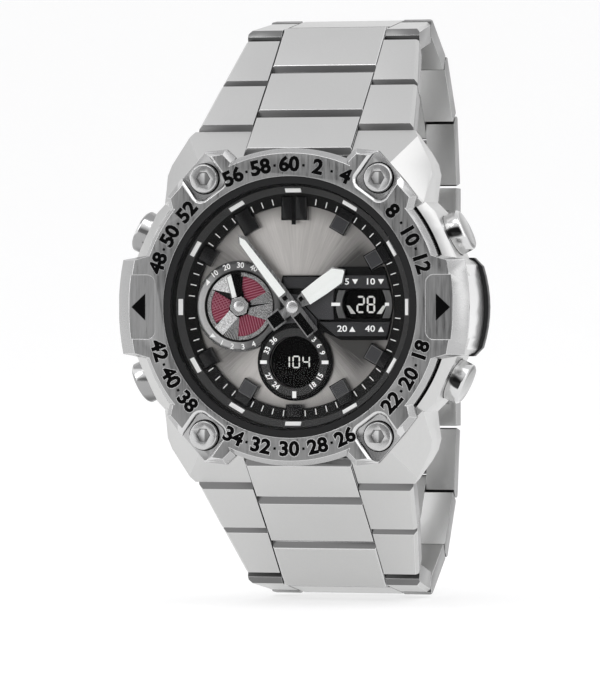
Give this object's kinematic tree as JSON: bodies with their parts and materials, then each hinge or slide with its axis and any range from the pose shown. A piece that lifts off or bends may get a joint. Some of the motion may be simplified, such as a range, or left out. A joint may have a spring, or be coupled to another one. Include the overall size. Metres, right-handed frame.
{
  "type": "wristwatch",
  "caption": "Steel-cased wristwatch with hands, small dial and digital windows, push buttons, a hinged link bracelet and a folding clasp.",
  "frame": {"origin": "middle of the wrist opening, half way between the case back and the clasp", "axes": "+X from the dial's centre to 3 o'clock, +Z to 12 o'clock, the dial faces -Y and the clasp is at +Y"},
  "size_m": [0.0516, 0.0564, 0.0838],
  "materials": {
    "brushed_bezel": "vertical brushing, grey",
    "polished_steel": "polished",
    "satin_steel": "fine satin",
    "black_resin": "satin moulded resin",
    "crystal_glass": "clear and flat",
    "black_seal": "smooth",
    "dark_ring": "fine grain",
    "grey_dial": "sunray brushed lacquer",
    "black_marker": "polished black",
    "small_dial_metal": "grained grey",
    "white_hand": "white with black tail",
    "black_frame": "satin black",
    "window_glass": "grey liquid crystal",
    "works_plastic": "moulded",
    "board_green": "lacquered board",
    "cell_steel": "plain",
    "back_steel": "turned",
    "spring_steel": "drawn",
    "clasp_steel": "long brushing"
  },
  "bodies": {
    "head": {"bezel": "brushed_bezel", "bezel_screws": "polished_steel", "case_shell": "satin_steel", "inner_case": "black_resin", "crystal": "crystal_glass", "crystal_seal": "black_seal", "dial_ring": "dark_ring", "dial_plate": "grey_dial", "hour_markers": "black_marker", "small_dial": "small_dial_metal", "window_frame": "black_frame", "window_panels": "window_glass", "works": "works_plastic", "circuit_board": "board_green", "battery": "cell_steel", "case_back": "back_steel", "case_back_seal": "black_seal", "pusher_springs": "spring_steel", "upper_end_link": "satin_steel", "lower_end_link": "satin_steel", "lug_spring_bars": "spring_steel"},
    "upper_link_1": {"upper_link_1_centre": "satin_steel", "upper_link_1_sides": "satin_steel"},
    "upper_link_2": {"upper_link_2_centre": "satin_steel", "upper_link_2_sides": "satin_steel"},
    "upper_link_3": {"upper_link_3_centre": "satin_steel", "upper_link_3_sides": "satin_steel"},
    "upper_link_4": {"upper_link_4_centre": "satin_steel", "upper_link_4_sides": "satin_steel"},
    "upper_link_5": {"upper_link_5_centre": "satin_steel", "upper_link_5_sides": "satin_steel"},
    "upper_link_6": {"upper_link_6_centre": "satin_steel", "upper_link_6_sides": "satin_steel"},
    "lower_link_1": {"lower_link_1_centre": "satin_steel", "lower_link_1_sides": "satin_steel"},
    "lower_link_2": {"lower_link_2_centre": "satin_steel", "lower_link_2_sides": "satin_steel"},
    "lower_link_3": {"lower_link_3_centre": "satin_steel", "lower_link_3_sides": "satin_steel"},
    "lower_link_4": {"lower_link_4_centre": "satin_steel", "lower_link_4_sides": "satin_steel"},
    "lower_link_5": {"lower_link_5_centre": "satin_steel", "lower_link_5_sides": "satin_steel"},
    "lower_link_6": {"lower_link_6_centre": "satin_steel", "lower_link_6_sides": "satin_steel"},
    "inner_blade": {"clasp_inner_blade": "clasp_steel"},
    "outer_blade": {"clasp_outer_blade": "clasp_steel"},
    "cover": {"clasp_cover": "clasp_steel"},
    "clasp_button_right": {"clasp_button_right": "polished_steel"},
    "clasp_button_left": {"clasp_button_left": "polished_steel"},
    "pusher_2": {"pusher_2": "polished_steel"},
    "pusher_10": {"pusher_10": "polished_steel"},
    "pusher_4": {"pusher_4": "polished_steel"},
    "pusher_8": {"pusher_8": "polished_steel"},
    "minute_hand": {"minute_hand": "white_hand"},
    "hour_hand": {"hour_hand": "white_hand"},
    "small_hand": {"small_hand": "white_hand"}
  },
  "joints": [
    {"name": "upper_link_1_hinge", "type": "hinge", "parent": "head", "child": "upper_link_1", "pos_m": [0, -0.02245, 0.02505], "axis": [1, 0, 0], "range_deg": [0, 8]},
    {"name": "upper_link_2_hinge", "type": "hinge", "parent": "upper_link_1", "child": "upper_link_2", "pos_m": [0, -0.01429, 0.03166], "axis": [1, 0, 0], "range_deg": [0, 6]},
    {"name": "upper_link_3_hinge", "type": "hinge", "parent": "upper_link_2", "child": "upper_link_3", "pos_m": [0, -0.00637, 0.03855], "axis": [1, 0, 0], "range_deg": [0, 32]},
    {"name": "upper_link_4_hinge", "type": "hinge", "parent": "upper_link_3", "child": "upper_link_4", "pos_m": [0, 0.00401, 0.04019], "axis": [1, 0, 0], "range_deg": [0, 38]},
    {"name": "upper_link_5_hinge", "type": "hinge", "parent": "upper_link_4", "child": "upper_link_5", "pos_m": [0, 0.01319, 0.0351], "axis": [1, 0, 0], "range_deg": [0, 25]},
    {"name": "upper_link_6_hinge", "type": "hinge", "parent": "upper_link_5", "child": "upper_link_6", "pos_m": [0, 0.01936, 0.0266], "axis": [1, 0, 0], "range_deg": [0, 26]},
    {"name": "lower_link_1_hinge", "type": "hinge", "parent": "head", "child": "lower_link_1", "pos_m": [0, -0.02245, -0.02505], "axis": [-1, 0, 0], "range_deg": [0, 8]},
    {"name": "lower_link_2_hinge", "type": "hinge", "parent": "lower_link_1", "child": "lower_link_2", "pos_m": [0, -0.01429, -0.03166], "axis": [-1, 0, 0], "range_deg": [0, 6]},
    {"name": "lower_link_3_hinge", "type": "hinge", "parent": "lower_link_2", "child": "lower_link_3", "pos_m": [0, -0.00637, -0.03855], "axis": [-1, 0, 0], "range_deg": [0, 32]},
    {"name": "lower_link_4_hinge", "type": "hinge", "parent": "lower_link_3", "child": "lower_link_4", "pos_m": [0, 0.00401, -0.04019], "axis": [-1, 0, 0], "range_deg": [0, 38]},
    {"name": "lower_link_5_hinge", "type": "hinge", "parent": "lower_link_4", "child": "lower_link_5", "pos_m": [0, 0.01319, -0.0351], "axis": [-1, 0, 0], "range_deg": [0, 25]},
    {"name": "lower_link_6_hinge", "type": "hinge", "parent": "lower_link_5", "child": "lower_link_6", "pos_m": [0, 0.01936, -0.0266], "axis": [-1, 0, 0], "range_deg": [0, 26]},
    {"name": "clasp_end_hinge", "type": "hinge", "parent": "lower_link_6", "child": "inner_blade", "pos_m": [0, 0.02118, -0.01626], "axis": [-1, 0, 0], "range_deg": [0, 60]},
    {"name": "clasp_fold", "type": "hinge", "parent": "inner_blade", "child": "outer_blade", "pos_m": [0, 0.02033, 0.012], "axis": [1, 0, 0], "range_deg": [0, 100]},
    {"name": "clasp_cover_hinge", "type": "hinge", "parent": "outer_blade", "child": "cover", "pos_m": [0, 0.02083, -0.0126], "axis": [-1, 0, 0], "range_deg": [0, 100]},
    {"name": "clasp_button_right_press", "type": "slide", "parent": "cover", "child": "clasp_button_right", "axis": [-1, 0, 0], "range_m": [0, 0.0004], "stiffness_N_per_m": 400, "springref_m": -0.0003},
    {"name": "clasp_button_left_press", "type": "slide", "parent": "cover", "child": "clasp_button_left", "axis": [1, 0, 0], "range_m": [0, 0.0004], "stiffness_N_per_m": 400, "springref_m": -0.0003},
    {"name": "pusher_2_press", "type": "slide", "parent": "head", "child": "pusher_2", "axis": [-0.9026, 0, -0.4305], "range_m": [0, 0.0008], "stiffness_N_per_m": 600, "springref_m": -0.0004},
    {"name": "pusher_10_press", "type": "slide", "parent": "head", "child": "pusher_10", "axis": [0.9026, 0, -0.4305], "range_m": [0, 0.0008], "stiffness_N_per_m": 600, "springref_m": -0.0004},
    {"name": "pusher_4_press", "type": "slide", "parent": "head", "child": "pusher_4", "axis": [-0.9026, 0, 0.4305], "range_m": [0, 0.0008], "stiffness_N_per_m": 600, "springref_m": -0.0004},
    {"name": "pusher_8_press", "type": "slide", "parent": "head", "child": "pusher_8", "axis": [0.9026, 0, 0.4305], "range_m": [0, 0.0008], "stiffness_N_per_m": 600, "springref_m": -0.0004},
    {"name": "minute_hand_turn", "type": "hinge", "parent": "head", "child": "minute_hand", "pos_m": [0, -0.0315, 0], "axis": [0, 1, 0], "continuous": true},
    {"name": "hour_hand_turn", "type": "hinge", "parent": "head", "child": "hour_hand", "pos_m": [0, -0.0315, 0], "axis": [0, 1, 0], "continuous": true},
    {"name": "small_hand_turn", "type": "hinge", "parent": "head", "child": "small_hand", "pos_m": [-0.008, -0.0315, 0.0001], "axis": [0, 1, 0], "continuous": true}
  ],
  "couplings": [
    {"joint": "hour_hand_turn", "follows": "minute_hand_turn", "ratio": 0.083333},
    {"joint": "clasp_cover_hinge", "follows": "clasp_fold", "ratio": 1}
  ]
}
